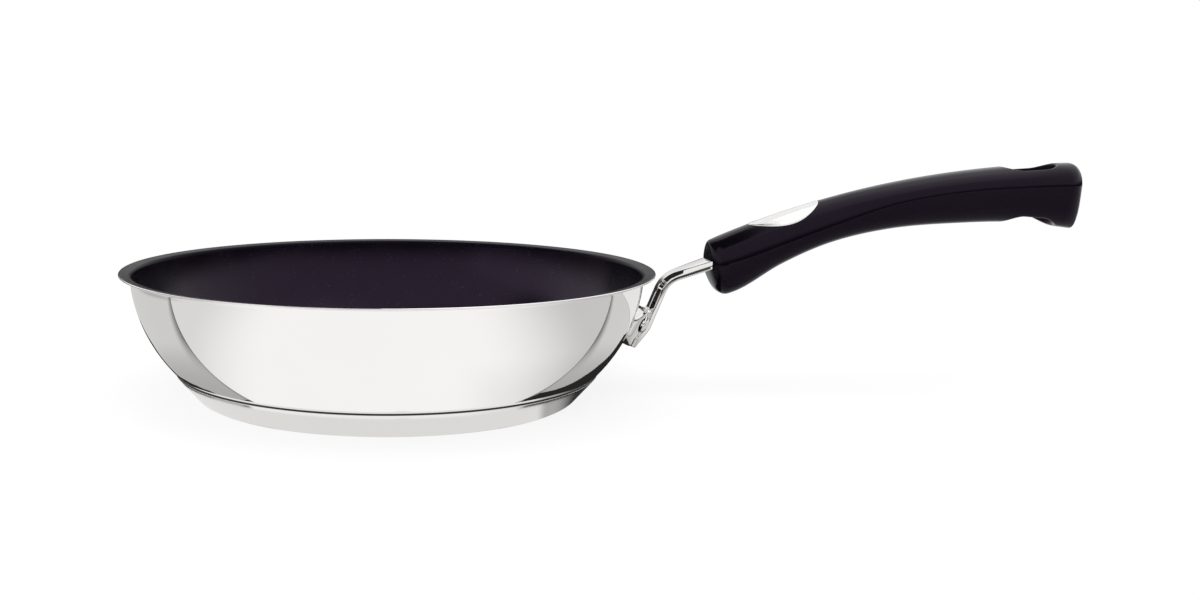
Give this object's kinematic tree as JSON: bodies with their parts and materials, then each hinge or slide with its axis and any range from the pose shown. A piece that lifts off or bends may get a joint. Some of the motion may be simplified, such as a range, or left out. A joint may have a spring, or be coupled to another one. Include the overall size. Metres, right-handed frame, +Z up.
{
  "type": "omelette pan",
  "caption": "Steel omelette pan with a flared lip, dark non-stick lining and bonded base, and a curved moulded handle on a riveted bracket.",
  "frame": {"origin": "on the pan's axis, in the plane that its base stands on", "axes": "+Z up, +X along the handle, away from the bowl"},
  "size_m": [0.4311, 0.24, 0.1042],
  "materials": {
    "polished_steel": "mirror-polished stainless steel",
    "nonstick": "satin dark coating with a faint speckle",
    "aluminium_core": "plain",
    "base_steel": "polished band, turned underside",
    "bracket_steel": "mirror-polished cast steel",
    "rivet_steel": "polished",
    "phenolic": "satin moulded phenolic",
    "badge_steel": "fine satin, bare",
    "screw_steel": "plated",
    "insert_brass": "plain"
  },
  "bodies": {
    "root": {"pan_body": "polished_steel", "nonstick_lining": "nonstick", "base_core": "aluminium_core", "base_cap": "base_steel", "handle_bracket": "bracket_steel", "bracket_rivets": "rivet_steel", "handle_grip": "phenolic", "handle_badge": "badge_steel", "handle_screw": "screw_steel", "screw_washer": "screw_steel", "threaded_insert": "insert_brass"}
  },
  "joints": []
}
